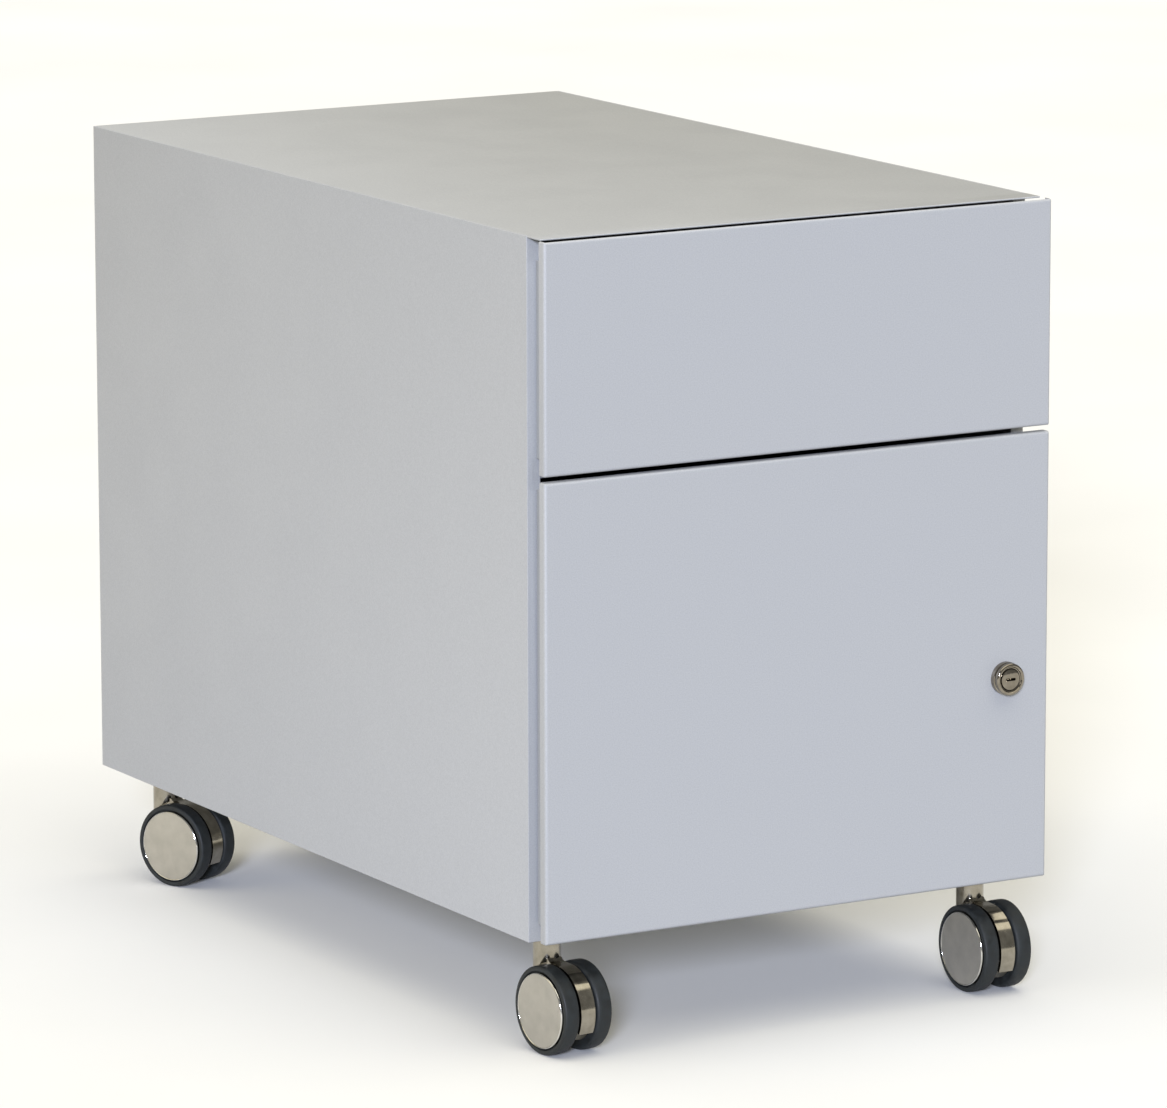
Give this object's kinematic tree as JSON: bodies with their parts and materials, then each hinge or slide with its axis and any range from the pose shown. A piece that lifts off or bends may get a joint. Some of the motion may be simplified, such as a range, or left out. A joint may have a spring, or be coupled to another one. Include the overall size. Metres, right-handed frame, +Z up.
{
  "type": "mobile pedestal filing cabinet",
  "caption": "Low steel office pedestal on twin-wheel castors, with a small upper drawer, a deep lower drawer for hanging files, side finger grips and a cam lock.",
  "frame": {"origin": "on the floor, under the middle of the bounding box", "axes": "+Z up; the drawers open towards -Y and +Y is the back, along the depth; +X is to the right seen from the front"},
  "size_m": [0.392, 0.664, 0.5475],
  "materials": {
    "powder_coat": "silver-grey powder coat, fine texture, satin",
    "inner_coat": "grey powder coat, satin",
    "zinc_steel": "zinc-plated rolled steel",
    "chrome": "bright chrome plate on zinc die casting",
    "satin_cap": "satin chrome wheel cap",
    "rubber": "matt black moulded tyre"
  },
  "bodies": {
    "case": {"left_side_panel": "powder_coat", "right_side_panel": "powder_coat", "top_panel": "powder_coat", "back_panel": "powder_coat", "bottom_panel": "powder_coat", "front_castor_channel": "inner_coat", "rear_castor_channel": "inner_coat", "middle_rail": "inner_coat", "upper_left_cabinet_rail": "zinc_steel", "upper_right_cabinet_rail": "zinc_steel", "lower_left_cabinet_rail": "zinc_steel", "lower_right_cabinet_rail": "zinc_steel", "front_left_castor_stem": "zinc_steel", "front_right_castor_stem": "zinc_steel", "rear_left_castor_stem": "zinc_steel", "rear_right_castor_stem": "zinc_steel"},
    "upper_slides": {"upper_left_middle_rail": "zinc_steel", "upper_right_middle_rail": "zinc_steel"},
    "upper_drawer": {"upper_left_drawer_rail": "zinc_steel", "upper_right_drawer_rail": "zinc_steel", "upper_drawer_front": "powder_coat", "upper_drawer_backing": "inner_coat", "upper_drawer_tray": "inner_coat", "upper_drawer_tray_back": "inner_coat"},
    "lower_slides": {"lower_left_middle_rail": "zinc_steel", "lower_right_middle_rail": "zinc_steel"},
    "lower_drawer": {"lower_left_drawer_rail": "zinc_steel", "lower_right_drawer_rail": "zinc_steel", "lower_drawer_front": "powder_coat", "lower_drawer_backing": "inner_coat", "lower_drawer_tray": "inner_coat", "left_file_rail": "zinc_steel", "right_file_rail": "zinc_steel", "lock_housing": "chrome"},
    "lock": {"lock_plug": "chrome", "lock_cam": "zinc_steel"},
    "front_left_swivel": {"front_left_castor_hood": "chrome", "front_left_axle": "zinc_steel"},
    "front_left_left_wheel": {"front_left_left_tyre": "rubber", "front_left_left_hub": "satin_cap"},
    "front_left_right_wheel": {"front_left_right_tyre": "rubber", "front_left_right_hub": "satin_cap"},
    "front_right_swivel": {"front_right_castor_hood": "chrome", "front_right_axle": "zinc_steel"},
    "front_right_left_wheel": {"front_right_left_tyre": "rubber", "front_right_left_hub": "satin_cap"},
    "front_right_right_wheel": {"front_right_right_tyre": "rubber", "front_right_right_hub": "satin_cap"},
    "rear_left_swivel": {"rear_left_castor_hood": "chrome", "rear_left_axle": "zinc_steel"},
    "rear_left_left_wheel": {"rear_left_left_tyre": "rubber", "rear_left_left_hub": "satin_cap"},
    "rear_left_right_wheel": {"rear_left_right_tyre": "rubber", "rear_left_right_hub": "satin_cap"},
    "rear_right_swivel": {"rear_right_castor_hood": "chrome", "rear_right_axle": "zinc_steel"},
    "rear_right_left_wheel": {"rear_right_left_tyre": "rubber", "rear_right_left_hub": "satin_cap"},
    "rear_right_right_wheel": {"rear_right_right_tyre": "rubber", "rear_right_right_hub": "satin_cap"}
  },
  "joints": [
    {"name": "upper_drawer_slide", "type": "slide", "parent": "case", "child": "upper_drawer", "axis": [0, -1, 0], "range_m": [0, 0.46]},
    {"name": "lower_drawer_slide", "type": "slide", "parent": "case", "child": "lower_drawer", "axis": [0, -1, 0], "range_m": [0, 0.5]},
    {"name": "upper_middle_slide", "type": "slide", "parent": "case", "child": "upper_slides", "axis": [0, -1, 0], "range_m": [0, 0.23]},
    {"name": "lower_middle_slide", "type": "slide", "parent": "case", "child": "lower_slides", "axis": [0, -1, 0], "range_m": [0, 0.25]},
    {"name": "lock_turn", "type": "hinge", "parent": "lower_drawer", "child": "lock", "pos_m": [0.1615, -0.324, 0.223], "axis": [0, -1, 0], "range_deg": [0, 90]},
    {"name": "front_left_swivel_turn", "type": "hinge", "parent": "case", "child": "front_left_swivel", "pos_m": [-0.167, -0.2747, 0.0775], "axis": [0, 0, 1], "continuous": true},
    {"name": "front_left_left_wheel_spin", "type": "hinge", "parent": "front_left_swivel", "child": "front_left_left_wheel", "pos_m": [-0.16534, -0.29363, 0.03], "axis": [0.9962, 0.0872, 0], "continuous": true},
    {"name": "front_left_right_wheel_spin", "type": "hinge", "parent": "front_left_swivel", "child": "front_left_right_wheel", "pos_m": [-0.16534, -0.29363, 0.03], "axis": [0.9962, 0.0872, 0], "continuous": true},
    {"name": "front_right_swivel_turn", "type": "hinge", "parent": "case", "child": "front_right_swivel", "pos_m": [0.167, -0.2747, 0.0775], "axis": [0, 0, 1], "continuous": true},
    {"name": "front_right_left_wheel_spin", "type": "hinge", "parent": "front_right_swivel", "child": "front_right_left_wheel", "pos_m": [0.16717, -0.2937, 0.03], "axis": [1, 0.0087, 0], "continuous": true},
    {"name": "front_right_right_wheel_spin", "type": "hinge", "parent": "front_right_swivel", "child": "front_right_right_wheel", "pos_m": [0.16717, -0.2937, 0.03], "axis": [1, 0.0087, 0], "continuous": true},
    {"name": "rear_left_swivel_turn", "type": "hinge", "parent": "case", "child": "rear_left_swivel", "pos_m": [-0.167, 0.2805, 0.0775], "axis": [0, 0, 1], "continuous": true},
    {"name": "rear_left_left_wheel_spin", "type": "hinge", "parent": "rear_left_swivel", "child": "rear_left_left_wheel", "pos_m": [-0.15942, 0.26308, 0.03], "axis": [0.9171, 0.3987, 0], "continuous": true},
    {"name": "rear_left_right_wheel_spin", "type": "hinge", "parent": "rear_left_swivel", "child": "rear_left_right_wheel", "pos_m": [-0.15942, 0.26308, 0.03], "axis": [0.9171, 0.3987, 0], "continuous": true},
    {"name": "rear_right_swivel_turn", "type": "hinge", "parent": "case", "child": "rear_right_swivel", "pos_m": [0.167, 0.2805, 0.0775], "axis": [0, 0, 1], "continuous": true},
    {"name": "rear_right_left_wheel_spin", "type": "hinge", "parent": "rear_right_swivel", "child": "rear_right_left_wheel", "pos_m": [0.16305, 0.26192, 0.03], "axis": [0.9781, -0.2079, 0], "continuous": true},
    {"name": "rear_right_right_wheel_spin", "type": "hinge", "parent": "rear_right_swivel", "child": "rear_right_right_wheel", "pos_m": [0.16305, 0.26192, 0.03], "axis": [0.9781, -0.2079, 0], "continuous": true}
  ],
  "couplings": [
    {"joint": "upper_middle_slide", "follows": "upper_drawer_slide", "ratio": 0.5},
    {"joint": "lower_middle_slide", "follows": "lower_drawer_slide", "ratio": 0.5}
  ]
}
